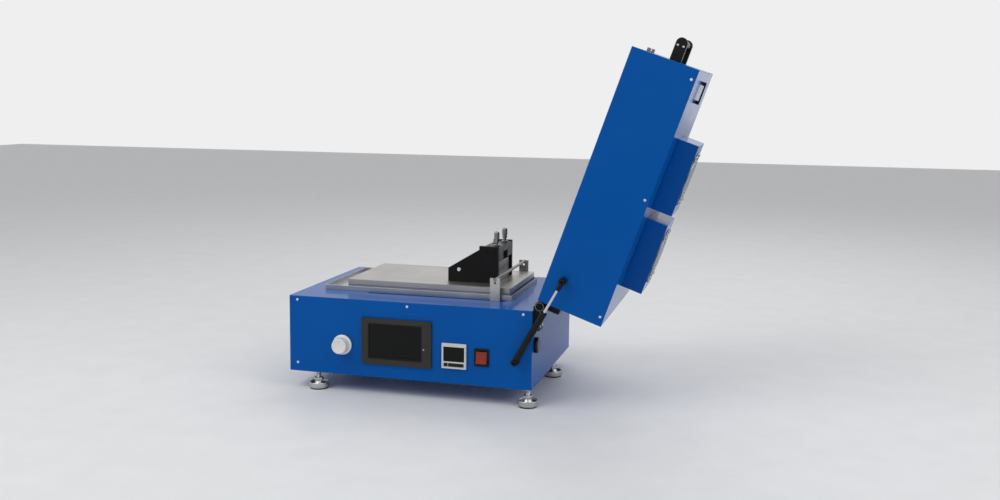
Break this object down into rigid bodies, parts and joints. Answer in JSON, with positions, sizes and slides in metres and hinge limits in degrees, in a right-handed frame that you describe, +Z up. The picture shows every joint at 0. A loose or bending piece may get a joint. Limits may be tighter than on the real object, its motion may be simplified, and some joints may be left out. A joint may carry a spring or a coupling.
{
  "type": "film coating machine",
  "caption": "Bench film coater: blue casing with a flat vacuum bed, a pushed blade applicator, front controls and a deep sprung lid with fans.",
  "frame": {"origin": "middle of the footprint of the overall box with the lid open, at the floor under the feet", "axes": "+Z up, -Y the control panel, +X towards the lid's hinge"},
  "size_m": [0.781, 0.3962, 0.6887],
  "materials": {
    "blue_paint": "smooth gloss enamel",
    "stainless": "fine brushed",
    "bed_metal": "ground, satin",
    "light_metal": "machined",
    "insulation": "matte",
    "black_metal": "black, satin",
    "black_plastic": "matte",
    "bright_steel": "polished",
    "blade_steel": "ground",
    "dark_glass": "gloss",
    "key_grey": "matte",
    "switch_red": "gloss",
    "dial_white": "satin",
    "foot_rubber": "matte",
    "bronze": "machined",
    "light_plastic": "satin",
    "motor_black": "matte",
    "supply_metal": "sheet",
    "board_green": "matte"
  },
  "bodies": {
    "casing": {"chassis_shell": "blue_paint", "rear_panel": "blue_paint", "top_deck": "blue_paint", "case_screws": "bright_steel", "bed_tray": "stainless", "bed_block": "insulation", "bed_plate": "bed_metal", "vacuum_spigot": "black_metal", "mains_inlet": "black_plastic", "power_supply": "supply_metal", "control_board": "board_green", "speed_pot": "black_plastic", "panel_body": "black_plastic", "panel_screen": "dark_glass", "timer_body": "light_plastic", "timer_window": "dark_glass", "rocker_housing": "black_plastic", "side_port": "black_plastic", "foot_pads": "foot_rubber", "levelling_feet": "stainless", "drive_mounts": "light_metal", "guide_rods": "bright_steel", "drive_motor": "motor_black", "hinge_base_leaves": "black_metal", "hinge_pins": "bright_steel", "strut_studs_base": "black_metal"},
    "lid": {"lid_frame": "blue_paint", "lid_top": "blue_paint", "lid_screws": "bright_steel", "fan_housings": "blue_paint", "fan_frames": "black_plastic", "finger_guards": "bright_steel", "lid_heaters": "stainless", "lid_handle": "black_plastic", "lid_pull": "black_plastic", "lid_keeper": "blade_steel", "hinge_lid_leaves": "black_metal", "strut_studs_lid": "black_metal"},
    "fan_low": {"fan_rotor_low": "black_plastic"},
    "fan_high": {"fan_rotor_high": "black_plastic"},
    "tube_front": {"strut_tube_front": "black_metal"},
    "tube_rear": {"strut_tube_rear": "black_metal"},
    "rod_front": {"strut_rod_front": "bright_steel"},
    "rod_rear": {"strut_rod_rear": "bright_steel"},
    "carriage": {"carriage_block": "light_metal", "carriage_bushings": "bronze", "push_posts": "stainless", "push_rod": "bright_steel"},
    "drive_screw": {"lead_screw": "bright_steel"},
    "applicator": {"applicator_plates": "black_metal", "applicator_beam": "black_metal", "applicator_tie_rod": "bright_steel", "micrometer_sleeves": "bright_steel"},
    "blade": {"applicator_blade": "blade_steel"},
    "gauge_front": {"thimble_front": "bright_steel"},
    "gauge_rear": {"thimble_rear": "bright_steel"},
    "dial": {"speed_dial": "dial_white"},
    "rocker": {"power_rocker": "switch_red"},
    "set_key": {"timer_set_button": "key_grey"},
    "mode_key": {"timer_mode_button": "key_grey"}
  },
  "joints": [
    {"name": "lid_hinge", "type": "hinge", "parent": "casing", "child": "lid", "pos_m": [0.11124, -0.0009, 0.1925], "axis": [0, 1, 0], "range_deg": [-109.4, 0]},
    {"name": "fan_low_spin", "type": "hinge", "parent": "lid", "child": "fan_low", "pos_m": [0.29366, -0.0009, 0.27849], "axis": [0.9432, 0, -0.3322], "continuous": true},
    {"name": "fan_high_spin", "type": "hinge", "parent": "lid", "child": "fan_high", "pos_m": [0.34647, -0.0009, 0.42846], "axis": [0.9432, 0, -0.3322], "continuous": true},
    {"name": "tube_front_pivot", "type": "hinge", "parent": "casing", "child": "tube_front", "pos_m": [0.07054, -0.0009, 0.08975], "axis": [0, 1, 0], "range_deg": [-41.5, 1]},
    {"name": "rod_front_pivot", "type": "hinge", "parent": "lid", "child": "rod_front", "pos_m": [0.15798, -0.0009, 0.24597], "axis": [0, 1, 0], "range_deg": [-1, 70]},
    {"name": "tube_rear_pivot", "type": "hinge", "parent": "casing", "child": "tube_rear", "pos_m": [0.07054, -0.0009, 0.08975], "axis": [0, 1, 0], "range_deg": [-41.5, 1]},
    {"name": "rod_rear_pivot", "type": "hinge", "parent": "lid", "child": "rod_rear", "pos_m": [0.15798, -0.0009, 0.24597], "axis": [0, 1, 0], "range_deg": [-1, 70]},
    {"name": "carriage_travel", "type": "slide", "parent": "casing", "child": "carriage", "axis": [1, 0, 0], "range_m": [-0.25, 0.008]},
    {"name": "screw_spin", "type": "hinge", "parent": "casing", "child": "drive_screw", "pos_m": [-0.11046, 0.0101, 0.149], "axis": [1, 0, 0], "range_deg": [-9050, 300]},
    {"name": "applicator_lift", "type": "slide", "parent": "carriage", "child": "applicator", "axis": [0, 0, 1], "range_m": [0, 0.06]},
    {"name": "gauge_front_spin", "type": "hinge", "parent": "applicator", "child": "gauge_front", "pos_m": [-0.01216, -0.0209, 0.293], "axis": [0, 0, 1], "range_deg": [0, 2160]},
    {"name": "gauge_rear_spin", "type": "hinge", "parent": "applicator", "child": "gauge_rear", "pos_m": [-0.01216, 0.0411, 0.293], "axis": [0, 0, 1], "range_deg": [0, 2160]},
    {"name": "blade_rise", "type": "slide", "parent": "applicator", "child": "blade", "axis": [0, 0, 1], "range_m": [0, 0.003]},
    {"name": "dial_turn", "type": "hinge", "parent": "casing", "child": "dial", "pos_m": [-0.27846, -0.1859, 0.0945], "axis": [0, 1, 0], "range_deg": [0, 300]},
    {"name": "rocker_tilt", "type": "hinge", "parent": "casing", "child": "rocker", "pos_m": [0.00324, -0.1764, 0.0902], "axis": [1, 0, 0], "range_deg": [0, 17]},
    {"name": "set_key_press", "type": "slide", "parent": "casing", "child": "set_key", "axis": [0, 1, 0], "range_m": [0, 0.0008], "stiffness_N_per_m": 800},
    {"name": "mode_key_press", "type": "slide", "parent": "casing", "child": "mode_key", "axis": [0, 1, 0], "range_m": [0, 0.0008], "stiffness_N_per_m": 800}
  ],
  "couplings": [
    {"joint": "tube_front_pivot", "follows": "lid_hinge", "ratio": 0.3766},
    {"joint": "rod_front_pivot", "follows": "lid_hinge", "ratio": -0.6234},
    {"joint": "tube_rear_pivot", "follows": "lid_hinge", "ratio": 0.3766},
    {"joint": "rod_rear_pivot", "follows": "lid_hinge", "ratio": -0.6234},
    {"joint": "screw_spin", "follows": "carriage_travel", "rad_per_m": 628.32},
    {"joint": "gauge_front_spin", "follows": "blade_rise", "rad_per_m": 12566},
    {"joint": "gauge_rear_spin", "follows": "blade_rise", "rad_per_m": 12566}
  ]
}
